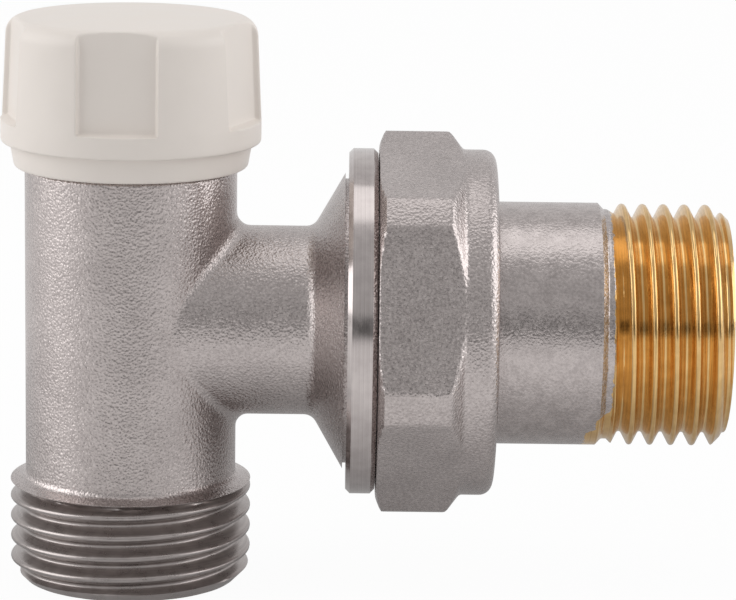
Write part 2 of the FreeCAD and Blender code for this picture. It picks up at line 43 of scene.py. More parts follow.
# Meshes are modelled in millimetres, and finished_piece brings each to metres.
TO_METRES = 0.001
MERGE_DIST = 0.001
SIDE_Z = 22.9
PIPE_PITCH = 1.814
PIPE_CREST_R = 10.4775
PIPE_ROOT_R = 9.3155
PIPE_CHAMFER_R = PIPE_ROOT_R - 0.015
PIPE_CREST_AT = 0.80
PIPE_RUN_OUT = 8.1
PIPE_RUN_OUT_SLOPE = 2.1
PIPE_FLARE_LOW = 8.7
PIPE_FLARE_BEND = 9.012
PIPE_FLARE_HIGH = 9.58
PIPE_FLARE_SLOPE = 2.95
PIPE_FLARE_ROUND = 0.6
PIPE_FLARE_RINGS = (PIPE_FLARE_LOW, PIPE_FLARE_BEND, 9.15, 9.3)
MOUTH_R = 8.0
BORED_R = 8.3
BARREL_R = 9.15
NECK_LOW = 36.3
NECK_TOP = 42.5
NECK_BORE_R = 6.58
CAP_PITCH = 1.337
CAP_CREST_R = 8.331
CAP_ROOT_R = 7.475
CAP_CREST_AT = 37.0
NECK_CHAMFER_R = CAP_ROOT_R - 0.07
NECK_RELIEF_R = CAP_ROOT_R - 0.02
NECK_RELIEF_HEIGHT = 0.7
NECK_RUN_OUT_SLOPE = 1.5
COLLAR_LOW = 18.8
COLLAR_HIGH = 21.3
UNION_PITCH = 1.814
UNION_CREST_R = 13.2205
UNION_ROOT_R = 12.0585
UNION_CREST_AT = 24.0
UNION_END = 28.6
UNION_CHAMFER_R = UNION_ROOT_R - 0.06
UNION_RELIEF_R = UNION_ROOT_R - 0.01
UNION_RELIEF_LENGTH = 0.6
UNION_RUN_OUT_SLOPE = 2
NOSE_MOUTH_R = 10.1
SEAM = 0.1
JUST = 0.02
ALONG_BRANCH = Matrix(((0, 0, 1, 0), (0, -1, 0, 0), (1, 0, 0, SIDE_Z), (0, 0, 0, 1)))


class Field:
    """A number that varies over a surface; arithmetic on it adds Math nodes."""

    def __init__(self, finish, socket):
        self.finish = finish
        self.socket = socket

    def calculate(self, operation, first, second):
        return self.finish.node("ShaderNodeMath", {"operation": operation}, {0: first, 1: second})

    def __add__(self, other):
        return self.calculate("ADD", self, other)

    def __radd__(self, other):
        return self.calculate("ADD", other, self)

    def __sub__(self, other):
        return self.calculate("SUBTRACT", self, other)

    def __rsub__(self, other):
        return self.calculate("SUBTRACT", other, self)

    def __mul__(self, other):
        return self.calculate("MULTIPLY", self, other)

    def __rmul__(self, other):
        return self.calculate("MULTIPLY", other, self)

    def __lt__(self, other):
        return self.calculate("LESS_THAN", self, other)


class Finish:
    """The node tree of a material or of the world, while it is put together."""

    def __init__(self, owner):
        owner.use_nodes = True
        self.owner = owner
        self.tree = owner.node_tree

    def node(self, kind, settings=None, inputs=None, output=0):
        """Adds a node: its settings first, then the values or links of its sockets."""
        made = self.tree.nodes.new(kind)
        for name, value in (settings or {}).items():
            setattr(made, name, value)
        for name, value in (inputs or {}).items():
            self.feed(made.inputs[name], value)
        return Field(self, made.outputs[output])

    def feed(self, socket, value):
        if isinstance(value, Field):
            self.tree.links.new(value.socket, socket)
        else:
            socket.default_value = value

    def surface(self, values):
        """Sets or links sockets of the surface shader."""
        shader = self.tree.nodes["Principled BSDF"]
        for name, value in values.items():
            self.feed(shader.inputs[name], value)

    def place(self):
        return self.node("ShaderNodeTexCoord", output="Object")

    def along(self, axis, vector=None):
        """How far along an axis a place or a direction lies."""
        return self.node("ShaderNodeSeparateXYZ", {}, {"Vector": vector or self.place()}, axis)

    def noise(self, scale, detail=2.0, roughness=0.5):
        return self.node("ShaderNodeTexNoise", {}, {
            "Vector": self.place(), "Scale": scale, "Detail": detail, "Roughness": roughness})

    def tool_rings(self, along, scale):
        """The fine rings that a lathe tool leaves across an axis."""
        return self.node("ShaderNodeTexNoise", {"noise_dimensions": "1D"}, {
            "W": along, "Scale": scale, "Detail": 2.0})

    def blend(self, share, first, second):
        """A colour between two others."""
        return self.node("ShaderNodeMix", {"data_type": "RGBA"}, {0: share, 6: first, 7: second}, 2)

    def spread(self, value, low, high, first=0.0, second=1.0):
        """Carries a value's range low to high over to first to second, and stops there."""
        return self.node("ShaderNodeMapRange", {"interpolation_type": "SMOOTHSTEP"}, {
            "Value": value, "From Min": low, "From Max": high, "To Min": first, "To Max": second})

    def bump(self, height, distance, strength=1.0):
        return self.node("ShaderNodeBump", {}, {
            "Height": height, "Distance": distance, "Strength": strength})


def blasted_plating(name):
    """Nickel over a shot-blasted forging: a fine sparkle of dents under slow dull clouds."""
    finish = Finish(bpy.data.materials.new(name))
    grain = finish.noise(4600, 2.0, roughness=0.6)
    dents = finish.node("ShaderNodeTexVoronoi", {}, {"Vector": finish.place(), "Scale": 4200})
    clouds = finish.noise(240, 2.0)
    tone = finish.spread(grain * 0.75 + clouds * 0.25, 0.3, 0.7)
    finish.surface({
        "Base Color": finish.blend(tone, (0.42, 0.375, 0.365, 1), (0.62, 0.56, 0.545, 1)),
        "Metallic": 1.0,
        "Roughness": finish.spread(grain, 0.3, 0.7, 0.22, 0.34),
        "Normal": finish.bump(grain + dents, 0.00004, 1.0),
    })
    return finish.owner


def turned_plating(name, axis, dark, bright, smooth, rough):
    """Nickel over a turned face: fine rings left by the tool, between two tones and two roughnesses."""
    finish = Finish(bpy.data.materials.new(name))
    rings = finish.tool_rings(finish.along(axis), 9000)
    haze = finish.noise(900, 3.0)
    tone = finish.spread(rings * 0.5 + haze * 0.5, 0.3, 0.7)
    finish.surface({
        "Base Color": finish.blend(tone, dark, bright),
        "Metallic": 1.0,
        "Roughness": finish.spread(haze, 0.3, 0.7, smooth, rough),
        "Normal": finish.bump(rings, 0.000006, 0.4),
    })
    return finish.owner


def cad_copy(node):
    """A bmesh of a CAD node in millimetres, with its loose triangles merged and its normals set free."""
    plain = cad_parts[node].data.copy()
    if "custom_normal" in plain.attributes:
        plain.attributes.remove(plain.attributes["custom_normal"])
    copy = bmesh.new()
    copy.from_mesh(plain)
    bpy.data.meshes.remove(plain)
    bmesh.ops.scale(copy, verts=copy.verts, vec=(1 / TO_METRES,) * 3)
    bmesh.ops.remove_doubles(copy, verts=copy.verts, dist=MERGE_DIST)
    return copy


def finished_piece(name, mesh, finishes, sharp_deg=38):
    """An object of a bmesh in millimetres, smooth up to an angle between its faces."""
    bmesh.ops.scale(mesh, verts=mesh.verts, vec=(TO_METRES,) * 3)
    data = bpy.data.meshes.new(name)
    mesh.to_mesh(data)
    mesh.free()
    for finish in finishes:
        data.materials.append(finish)
    data.shade_smooth()
    data.set_sharp_from_angle(angle=math.radians(sharp_deg))
    piece = bpy.data.objects.new(name, data)
    bpy.context.scene.collection.objects.link(piece)
    return piece


def thread_skin(tip_r, root_r, pitch, tip_at, low, high, radius_limits, rings=()):
    """The skin of a right-hand thread round +Z, with 55 degree flanks and round tips, open at both ends.

    Its tip passes the +X side at height tip_at, and a tip radius below the root's makes an inner thread.
    radius_limits(height) gives the least and greatest radius, for its run-out and chamfer, and rings are
    the heights at which these limits bend.
    """
    steps = 96
    arc_degs = (-62.5, -41.7, -20.8, 0, 20.8, 41.7, 62.5)
    outward = 1 if tip_r > root_r else -1
    round_r = 0.1373 * pitch
    first = tip_at - pitch * (math.ceil((tip_at - low) / pitch) + 1.5)
    turns = math.ceil((high - first) / pitch) + 1
    skin = bmesh.new()
    profile = []
    for height, middle_r, side, degs in (
            (first, root_r, outward, arc_degs[3:]),
            (first + pitch / 2, tip_r, -outward, arc_degs),
            (first + pitch, root_r, outward, arc_degs[:4])):
        for deg in degs:
            angle = math.radians(deg)
            radius = middle_r + side * round_r * (1 - math.cos(angle))
            profile.append(skin.verts.new((radius, 0, height + round_r * math.sin(angle))))
    edges = [skin.edges.new(ends) for ends in zip(profile, profile[1:])]
    flanks = [edge for edge in edges if edge.calc_length() > pitch / 4]
    bmesh.ops.subdivide_edges(skin, edges=flanks, cuts=3)
    bmesh.ops.spin(
        skin, geom=skin.verts[:] + skin.edges[:], cent=(0, 0, 0), axis=(0, 0, 1),
        dvec=(0, 0, pitch / steps), angle=2 * math.pi, steps=steps)
    bmesh.ops.spin(
        skin, geom=skin.verts[:] + skin.edges[:] + skin.faces[:], cent=(0, 0, 0), axis=(0, 0, 1),
        dvec=(0, 0, pitch), angle=0, steps=turns, use_duplicate=True)
    bmesh.ops.remove_doubles(skin, verts=skin.verts, dist=5 * MERGE_DIST)
    for height in rings:
        bmesh.ops.bisect_plane(
            skin, geom=skin.verts[:] + skin.edges[:] + skin.faces[:], dist=MERGE_DIST / 10,
            plane_co=(0, 0, height), plane_no=(0, 0, 1))
    for vert in skin.verts:
        radius = math.hypot(vert.co.x, vert.co.y)
        least, greatest = radius_limits(vert.co.z)
        factor = min(max(radius, least), greatest) / radius
        vert.co.x *= factor
        vert.co.y *= factor
    for height, away in ((low, -1), (high, 1)):
        bmesh.ops.bisect_plane(
            skin, geom=skin.verts[:] + skin.edges[:] + skin.faces[:], dist=MERGE_DIST / 10,
            plane_co=(0, 0, height), plane_no=(0, 0, away), clear_outer=True)
    for face in skin.faces:
        face.material_index = 1
    return skin


def end_face(skin, height, radius):
    """Closes a thread's end at this height with a flat ring that reaches in to a radius."""
    rim = [edge for edge in skin.edges if edge.is_boundary
           and all(abs(vert.co.z - height) < MERGE_DIST for vert in edge.verts)]
    ring = bmesh.ops.extrude_edge_only(skin, edges=rim)["geom"]
    for vert in ring:
        if isinstance(vert, bmesh.types.BMVert):
            factor = radius / math.hypot(vert.co.x, vert.co.y)
            vert.co.x *= factor
            vert.co.y *= factor


def take_off_skin(piece, belongs):
    """Deletes the faces whose corners, as a list of places, belong to the skin that is made anew."""
    gone = [face for face in piece.faces if belongs([vert.co for vert in face.verts])]
    bmesh.ops.delete(piece, geom=gone, context="FACES")


def add_shell(piece, shell):
    """Moves the faces of one bmesh into another."""
    carrier = bpy.data.meshes.new("shell")
    shell.to_mesh(carrier)
    shell.free()
    piece.from_mesh(carrier)
    bpy.data.meshes.remove(carrier)


def join_skin(piece, skin, matrix, divide, inner=False):
    """Adds a skin to a piece, and bridges their open rims on each side of a dividing test."""
    bmesh.ops.recalc_face_normals(skin, faces=skin.faces)
    if inner:
        bmesh.ops.reverse_faces(skin, faces=skin.faces)
    bmesh.ops.transform(skin, matrix=matrix, verts=skin.verts)
    add_shell(piece, skin)
    for side in (True, False):
        rims = [edge for edge in piece.edges if edge.is_boundary
                and divide(edge.verts[0].co) == side]
        bmesh.ops.bridge_loops(piece, edges=rims)


def barrel_distance(place):
    return math.hypot(place.x, place.y)


def branch_distance(place):
    return math.hypot(place.y, place.z - SIDE_Z)


def pipe_limits(height):
    """The pipe thread's chamfer at its foot, its run-out at the top and the flare up to the barrel."""
    chamfer = PIPE_CHAMFER_R + max(height, 0)
    slope = PIPE_CREST_R - (height - PIPE_FLARE_LOW) * PIPE_FLARE_SLOPE
    below_top = min(max(PIPE_FLARE_HIGH - height, 0), PIPE_FLARE_ROUND)
    hollow = BARREL_R + PIPE_FLARE_ROUND - math.sqrt(PIPE_FLARE_ROUND ** 2 - below_top ** 2)
    flare = slope if height < PIPE_FLARE_BEND else hollow
    greatest = min(chamfer, flare, PIPE_CREST_R)
    return min(PIPE_ROOT_R + (height - PIPE_RUN_OUT) * PIPE_RUN_OUT_SLOPE, greatest), greatest


def neck_limits(height):
    """The cap thread's chamfer at the rim and the relief over the barrel's shoulder."""
    chamfer = NECK_CHAMFER_R + max(NECK_TOP - height, 0)
    relief = NECK_RELIEF_R + max(height - NECK_LOW - NECK_RELIEF_HEIGHT, 0) * NECK_RUN_OUT_SLOPE
    return 0, min(chamfer, relief, CAP_CREST_R)


def union_limits(along):
    """The union thread's chamfer at its end and the relief beside the collar."""
    chamfer = UNION_CHAMFER_R + max(UNION_END - along, 0)
    relief = UNION_RELIEF_R + max(along - COLLAR_HIGH - UNION_RELIEF_LENGTH, 0) * UNION_RUN_OUT_SLOPE
    return 0, min(chamfer, relief, UNION_CREST_R)


body = cad_copy("valve_body")
take_off_skin(body, lambda places: max(map(barrel_distance, places)) > MOUTH_R + JUST
              and max(map(barrel_distance, places)) < PIPE_CREST_R + JUST
              and max(place.z for place in places) < PIPE_FLARE_HIGH + JUST)
skin = thread_skin(
    PIPE_CREST_R, PIPE_ROOT_R, PIPE_PITCH, PIPE_CREST_AT, 0, PIPE_FLARE_HIGH - SEAM, pipe_limits,
    PIPE_FLARE_RINGS)
end_face(skin, 0, MOUTH_R + SEAM)
join_skin(body, skin, Matrix(), lambda place: place.z > PIPE_FLARE_LOW)

take_off_skin(body, lambda places: max(map(barrel_distance, places)) > NECK_BORE_R + JUST
              and max(map(barrel_distance, places)) < CAP_CREST_R + JUST
              and min(place.z for place in places) > NECK_LOW - JUST)
skin = thread_skin(
    CAP_CREST_R, CAP_ROOT_R, CAP_PITCH, CAP_CREST_AT, NECK_LOW + SEAM, NECK_TOP, neck_limits)
end_face(skin, NECK_TOP, NECK_BORE_R + SEAM)
join_skin(body, skin, Matrix(), lambda place: place.z > NECK_TOP - 1)

take_off_skin(body, lambda places: max(map(branch_distance, places)) > NOSE_MOUTH_R + JUST
              and max(map(branch_distance, places)) < UNION_CREST_R + JUST
              and min(place.x for place in places) > COLLAR_HIGH - JUST)
skin = thread_skin(
    UNION_CREST_R, UNION_ROOT_R, UNION_PITCH, UNION_CREST_AT, COLLAR_HIGH + SEAM, UNION_END, union_limits)
end_face(skin, UNION_END, NOSE_MOUTH_R + SEAM)
join_skin(body, skin, ALONG_BRANCH, lambda place: place.x > UNION_END - 1)

for face in body.faces:
    centre = face.calc_center_median()
    if COLLAR_LOW - 0.01 < centre.x and branch_distance(centre) > UNION_ROOT_R:
        face.material_index = 2
    elif barrel_distance(centre) < BORED_R:
        face.material_index = 1
    elif PIPE_FLARE_LOW < centre.z < PIPE_FLARE_HIGH + SEAM:
        face.material_index = 0
valve_body = finished_piece("valve_body_shell", body, [
    blasted_plating("blasted_body_plating"),
    turned_plating("cut_thread_plating", "Z", (0.36, 0.325, 0.315, 1), (0.48, 0.435, 0.42, 1), 0.26, 0.36),
    turned_plating("turned_collar_plating", "X", (0.50, 0.45, 0.44, 1), (0.62, 0.565, 0.55, 1), 0.14, 0.22),
])
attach(valve_body, "valve_body")
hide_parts("valve_body")


# Bonnet, spindle, valve disc and washer screw
# Bar brass turned on a lathe, unplated. The bonnet screws into the barrel, the spindle screws up and
# down in it with a hexagon socket in its top, and the disc is crimped to the spindle's foot.


def turned_brass(name):
    """Bare brass from the lathe, with tool rings and a little tarnish."""
    finish = Finish(bpy.data.materials.new(name))
    rings = finish.tool_rings(finish.along("Z"), 7000)
    tarnish = finish.noise(500, 3.0)
    finish.surface({
        "Base Color": finish.blend(
            finish.spread(tarnish, 0.35, 0.7), (0.58, 0.37, 0.15, 1), (0.74, 0.52, 0.25, 1)),
        "Metallic": 1.0,
        "Roughness": finish.spread(tarnish, 0.3, 0.7, 0.2, 0.32),
        "Normal": finish.bump(rings, 0.000008, 0.5),
    })
    return finish.owner


def give_finish(nodes, finish):
    """A better finish for CAD nodes that keep their own shape."""
    for node in nodes:
        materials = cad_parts[node].data.materials
        materials.clear()
        materials.append(finish)


give_finish(("bonnet", "spindle", "obturator", "washer_screw"), turned_brass("turned_headwork_brass"))


# Seals
# Moulded black rubber: O-rings on the bonnet, spindle and tail, the washer under the valve disc and
# the flat gasket in the cap. Each sits loose in its groove.


def moulded_rubber(name):
    """Black rubber with a faint grey bloom."""
    finish = Finish(bpy.data.materials.new(name))
    bloom = finish.noise(700, 3.0)
    finish.surface({
        "Base Color": finish.blend(bloom, (0.018, 0.018, 0.018, 1), (0.045, 0.044, 0.042, 1)),
        "Roughness": finish.spread(bloom, 0.3, 0.7, 0.5, 0.65),
        "Normal": finish.bump(finish.noise(6000), 0.00001, 0.3),
    })
    return finish.owner


give_finish(("bonnet_o_ring", "stem_o_ring_lower", "stem_o_ring_upper", "seat_washer", "cap_gasket",
             "tail_o_ring"), moulded_rubber("moulded_seal_rubber"))


# Protective cap
# One ivory plastic moulding that screws over the spindle: a tapered skirt, then a drafted crown with five
# grip pockets, whose edges are softly rounded by the mould.
CAP_LOW = 36.4
CAP_LEAD_IN = 0.3
CAP_FOOT_LOW = 38.55
CAP_TOP = 49.55
CAP_EDGE_TOP = 49.2
CAP_TOP_ROUND = 1.6
CAP_FOOT_ROUND = 0.3
CAP_STEP_ROUND = 0.1
CAP_FLANGE_ROUND = 0.25
CAP_TURN_STEPS = 960
CAP_INSIDE_STEPS = 96
CAP_SHORT_EDGE = 0.5
CAP_LONG_EDGE = 2.0
CAP_ROOF = 47.75
CAP_BOSS_LOW = 45.9
CAP_BOSS_R = 7.2
CAP_BOSS_BORE_R = 3.9
CAP_SEAT = 46.3
CAP_SEAT_OUTER_R = 6.85
CAP_SEAT_INNER_R = 4.25
CAP_SKIRT_LOW_R = 10.05
CAP_SKIRT_R = 10.45
CAP_CROWN_R = 11.2
CAP_DRAFT = math.tan(math.radians(2.6))
CAP_BORE_R = 8.411
CAP_TIP_R = 7.555
CAP_THREAD_TOP = 43.0
BORE_RUN_OUT_SLOPE = 1.2
POCKET_LOW = 40.45
POCKET_FLOOR_LOW = 40.635
POCKET_FLAT = 10.15
POCKET_HALF = 3.35
POCKET_EDGE = 0.17
POCKET_SOFT = 0.2
POCKET_LIP_ROUND = 0.12
POCKET_FLOOR_ROUND = 0.2
POCKET_COUNT = 5
POCKET_AT = math.radians(-93.4)


def outline_points(corners):
    """Points through corners (u, v), where a corner (u, v, radius) is rounded with an arc."""
    points = []
    for index, corner in enumerate(corners):
        here = Vector(corner[:2])
        if len(corner) == 2:
            points.append(here)
            continue
        before = (Vector(corners[index - 1][:2]) - here).normalized()
        after = (Vector(corners[index + 1][:2]) - here).normalized()
        half = before.angle(after) / 2
        centre = here + (before + after).normalized() * corner[2] / math.sin(half)
        start = here + before * corner[2] / math.tan(half) - centre
        end = here + after * corner[2] / math.tan(half) - centre
        arc_steps = 3 + int(corner[2] * 6)
        for step in range(arc_steps + 1):
            points.append(centre + start.slerp(end, step / arc_steps).normalized() * corner[2])
    return points


def spun_shell(corners, longest, steps, sectors=1, start=0.0):
    """One of the equal sectors of a shell turned round +Z from corners (radius, height).

    longest(height) is the longest that an edge of its outline may be, steps count the whole turn.
    """
    shell = bmesh.new()
    verts = [shell.verts.new((point.x, 0, point.y)) for point in outline_points(corners)]
    for ends in zip(verts, verts[1:]):
        shell.edges.new(ends)
    for edge in shell.edges[:]:
        middle = (edge.verts[0].co + edge.verts[1].co) / 2
        cuts = int(edge.calc_length() / longest(middle.z))
        if cuts:
            bmesh.ops.subdivide_edges(shell, edges=[edge], cuts=cuts)
    bmesh.ops.rotate(shell, verts=shell.verts, cent=(0, 0, 0), matrix=Matrix.Rotation(start, 3, "Z"))
    bmesh.ops.spin(
        shell, geom=shell.verts[:] + shell.edges[:], cent=(0, 0, 0), axis=(0, 0, 1),
        angle=2 * math.pi / sectors, steps=steps // sectors, use_merge=sectors == 1)
    return shell


def close_round(shell, sectors):
    """Repeats a sector right round +Z, and merges where the sectors meet."""
    if sectors > 1:
        bmesh.ops.spin(
            shell, geom=shell.verts[:] + shell.edges[:] + shell.faces[:], cent=(0, 0, 0),
            axis=(0, 0, 1), angle=2 * math.pi * (sectors - 1) / sectors, steps=sectors - 1,
            use_duplicate=True)
    bmesh.ops.remove_doubles(shell, verts=shell.verts, dist=MERGE_DIST)
    bmesh.ops.recalc_face_normals(shell, faces=shell.faces)


def share_between(low, high, value):
    return min(max((value - low) / (high - low), 0), 1) if high > low else 1


def smooth_step(low, high, value):
    share = share_between(low, high, value)
    return share * share * (3 - 2 * share)


def soft_least(first, second, width):
    """The lesser of two sizes, rounded where they are nearly equal."""
    nearness = max(width - abs(first - second), 0) / width
    return min(first, second) - nearness * nearness * width / 4


def moulded_ivory(name):
    """Ivory plastic with a satin skin that is a little uneven."""
    finish = Finish(bpy.data.materials.new(name))
    uneven = finish.noise(350, 3.0)
    finish.surface({
        "Base Color": finish.blend(uneven, (0.79, 0.727, 0.675, 1), (0.83, 0.767, 0.713, 1)),
        "Roughness": finish.spread(uneven, 0.3, 0.7, 0.36, 0.46),
        "Normal": finish.bump(finish.noise(2600, 2.0), 0.00001, 0.25),
    })
    return finish.owner


pocket_line = outline_points([
    (CAP_CROWN_R, CAP_FOOT_LOW + 1),
    (CAP_CROWN_R, POCKET_LOW, POCKET_LIP_ROUND),
    (POCKET_FLAT, POCKET_FLOOR_LOW, POCKET_FLOOR_ROUND),
    (POCKET_FLAT - (CAP_TOP - POCKET_FLOOR_LOW) * CAP_DRAFT, CAP_TOP),
])
cap = spun_shell([
    (CAP_BORE_R, CAP_LOW + CAP_LEAD_IN),
    (CAP_BORE_R + CAP_LEAD_IN, CAP_LOW),
    (CAP_SKIRT_LOW_R, CAP_LOW, CAP_FOOT_ROUND),
    (CAP_SKIRT_R, CAP_FOOT_LOW, CAP_STEP_ROUND),
    (CAP_CROWN_R, CAP_FOOT_LOW, CAP_FLANGE_ROUND),
] + [(CAP_CROWN_R - max(point.y - POCKET_LOW, 0) * CAP_DRAFT, point.y) for point in pocket_line[:-1]] + [
    (CAP_CROWN_R - (CAP_EDGE_TOP - POCKET_LOW) * CAP_DRAFT, CAP_EDGE_TOP, CAP_TOP_ROUND),
    (0, CAP_TOP),
], lambda height: CAP_SHORT_EDGE if height < CAP_EDGE_TOP else CAP_LONG_EDGE, CAP_TURN_STEPS,
    POCKET_COUNT, POCKET_AT - math.pi / POCKET_COUNT)
pocket_out = Vector((math.cos(POCKET_AT), math.sin(POCKET_AT), 0))
for vert in cap.verts:
    if vert.co.z < pocket_line[0].y:
        continue
    upper = next(index for index, point in enumerate(pocket_line) if point.y >= vert.co.z - MERGE_DIST)
    below = pocket_line[max(upper - 1, 0)]
    share = share_between(below.y, pocket_line[upper].y, vert.co.z)
    floor_reach = below.x + (pocket_line[upper].x - below.x) * share
    reach = vert.co.dot(pocket_out)
    across = abs(pocket_out.x * vert.co.y - pocket_out.y * vert.co.x)
    side = smooth_step(POCKET_HALF - POCKET_EDGE, POCKET_HALF + POCKET_EDGE, across)
    vert.co -= pocket_out * (reach - soft_least(reach, floor_reach, POCKET_SOFT)) * (1 - side)
close_round(cap, POCKET_COUNT)
inside = spun_shell([
    (CAP_BORE_R, CAP_THREAD_TOP),
    (CAP_BORE_R, CAP_ROOF),
    (CAP_BOSS_R, CAP_ROOF),
    (CAP_BOSS_R, CAP_BOSS_LOW),
    (CAP_SEAT_OUTER_R, CAP_BOSS_LOW),
    (CAP_SEAT_OUTER_R, CAP_SEAT),
    (CAP_SEAT_INNER_R, CAP_SEAT),
    (CAP_SEAT_INNER_R, CAP_BOSS_LOW),
    (CAP_BOSS_BORE_R, CAP_BOSS_LOW),
    (CAP_BOSS_BORE_R, CAP_ROOF),
    (0, CAP_ROOF),
], lambda height: CAP_LONG_EDGE, CAP_INSIDE_STEPS)
close_round(inside, 1)
bmesh.ops.reverse_faces(inside, faces=inside.faces)
add_shell(cap, inside)


def inner_thread(tip_r, bore_r, pitch, tip_at, low, high):
    """The skin of a thread in a bore, which rises out of the bore's wall at both of its ends."""
    def limits(height):
        from_end = min(max(height - low, 0), max(high - height, 0))
        return bore_r - from_end * BORE_RUN_OUT_SLOPE, bore_r

    return thread_skin(tip_r, bore_r, pitch, tip_at, low, high, limits)


skin = inner_thread(
    CAP_TIP_R, CAP_BORE_R, CAP_PITCH, CAP_CREST_AT + CAP_PITCH / 2,
    CAP_LOW + CAP_LEAD_IN + SEAM, CAP_THREAD_TOP - SEAM)
join_skin(cap, skin, Matrix(), lambda place: place.z > CAP_THREAD_TOP - 1, inner=True)
for face in cap.faces:
    face.material_index = 0
protective_cap = finished_piece("protective_cap_moulding", cap, [moulded_ivory("moulded_ivory")], 60)
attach(protective_cap, "protective_cap")
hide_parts("protective_cap")


# Union nut
# A brass forging, shot-blasted and nickel plated: a hexagon with turned corners, both ends chamfered,
# and a round shoulder that draws the tail's flange against the body. Its inside thread is tapped.
NUT_LOW = 21.4
NUT_HIGH = 31.5
NUT_SIDES = 6
NUT_FLAT = 15.0
NUT_CORNER_R = 16.55
NUT_CORNER_SOFT = 0.12
NUT_CORNER_AT = math.radians(44.7)
NUT_FACE_R = 15.35
NUT_HEX_END = 27.5
NUT_SHOULDER_R = 15.0
NUT_SHOULDER_ROUND = 1.1
NUT_SOFT_EDGE = 0.25
NUT_RIM_ROUND = 0.15
NUT_TURN_STEPS = 480
NUT_SHORT_EDGE = 0.2
NUT_FRONT_SLOPE = 1 / math.tan(math.radians(22))
NUT_BACK_SLOPE = 1 / math.tan(math.radians(37))
NUT_BORE_R = 13.3
NUT_LEAD_IN = 0.5
NUT_TIP_R = 12.14
NUT_SEAT = 30.3
NUT_HOLE_R = 10.72
NUT_THREAD_LOW = 22.0
NUT_THREAD_HIGH = 28.4


def hexagon_radius(angle):
    """The distance out to a hexagon with turned corners, one of which lies at angle zero."""
    side = 2 * math.pi / NUT_SIDES
    from_corner = angle - side * round(angle / side)
    flat_r = NUT_FLAT / math.cos(side / 2 - abs(from_corner))
    return soft_least(flat_r, NUT_CORNER_R, NUT_CORNER_SOFT)


def nut_radius(angle, along):
    """The nut's outside: the hexagon, cut by its two chamfers, down to the shoulder."""
    front = NUT_FACE_R + (along - NUT_LOW) * NUT_FRONT_SLOPE
    back = NUT_CORNER_R - (along - NUT_HEX_END) * NUT_BACK_SLOPE
    back = -soft_least(-back, -NUT_SHOULDER_R, NUT_SOFT_EDGE)
    return soft_least(hexagon_radius(angle), soft_least(front, back, NUT_SOFT_EDGE), NUT_SOFT_EDGE)


nut = spun_shell([
    (NUT_BORE_R, NUT_THREAD_LOW),
    (NUT_BORE_R + NUT_LEAD_IN, NUT_LOW),
    (NUT_SHOULDER_R, NUT_LOW, NUT_RIM_ROUND),
    (NUT_SHOULDER_R, NUT_HIGH, NUT_SHOULDER_ROUND),
    (NUT_HOLE_R, NUT_HIGH, NUT_RIM_ROUND),
    (NUT_HOLE_R, NUT_SEAT),
    (NUT_BORE_R, NUT_SEAT),
    (NUT_BORE_R, NUT_THREAD_HIGH),
], lambda height: NUT_SHORT_EDGE, NUT_TURN_STEPS, NUT_SIDES, NUT_CORNER_AT)
round_start = NUT_HIGH - NUT_SHOULDER_ROUND
for vert in nut.verts:
    radius = math.hypot(vert.co.x, vert.co.y)
    if radius < NUT_SHOULDER_R - 0.2 or vert.co.z > round_start:
        continue
    angle = math.atan2(vert.co.y, vert.co.x) - NUT_CORNER_AT
    factor = (nut_radius(angle, vert.co.z) - NUT_SHOULDER_R + radius) / radius
    vert.co.x *= factor
    vert.co.y *= factor
close_round(nut, NUT_SIDES)
skin = inner_thread(
    NUT_TIP_R, NUT_BORE_R, UNION_PITCH, UNION_CREST_AT + UNION_PITCH / 2,
    NUT_THREAD_LOW + SEAM, NUT_THREAD_HIGH - SEAM)
join_skin(nut, skin, Matrix(), lambda place: place.z > NUT_THREAD_HIGH - 1, inner=True)
bmesh.ops.transform(nut, matrix=ALONG_BRANCH, verts=nut.verts)
union_nut = finished_piece("union_nut_forging", nut, [
    blasted_plating("blasted_nut_plating"),
    turned_plating("tapped_nut_plating", "X", (0.50, 0.45, 0.44, 1), (0.62, 0.565, 0.55, 1), 0.18, 0.28),
])
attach(union_nut, "union_nut")
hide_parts("union_nut")


# Tail piece
# A brass tube turned from bar: a sealed nose and a flange inside the nut, a neck that is nickel plated,
# and the radiator thread, cut after plating so that its brass is bare.
TAIL_R = 10.52
TAIL_NECKING_LOW = 40.4
TAIL_NECKING_R = 9.98
TAIL_NECKING_SLOPE = 1.08
TAIL_RUN_OUT = 0.2
TAIL_RUN_OUT_SLOPE = 0.6
TAIL_THREAD_LOW = 41.4
TAIL_END = 51.6
TAIL_BORE_R = 7.6
TAIL_CREST_AT = 42.55
PLATING_END_BELOW = 0.0393
PLATING_END_STEP = 0.0402
PLATING_END_RISE = 0.0012
PLATING_RAGGED = 0.0006


def tail_limits(along):
    """The plain neck, its slope down to the necking, the thread's run-out and its end chamfer."""
    necking = TAIL_R - max(along - TAIL_NECKING_LOW, 0) * TAIL_NECKING_SLOPE
    rise = TAIL_NECKING_R + max(along - TAIL_THREAD_LOW, 0)
    outside = PIPE_CREST_R if along > TAIL_THREAD_LOW else TAIL_R
    chamfer = PIPE_CHAMFER_R + max(TAIL_END - along, 0)
    greatest = min(max(necking, rise), outside, chamfer)
    run_out = TAIL_NECKING_R - (along - TAIL_THREAD_LOW + TAIL_RUN_OUT) * TAIL_RUN_OUT_SLOPE
    least = greatest if along < TAIL_THREAD_LOW - TAIL_RUN_OUT else min(run_out, greatest)
    return least, greatest


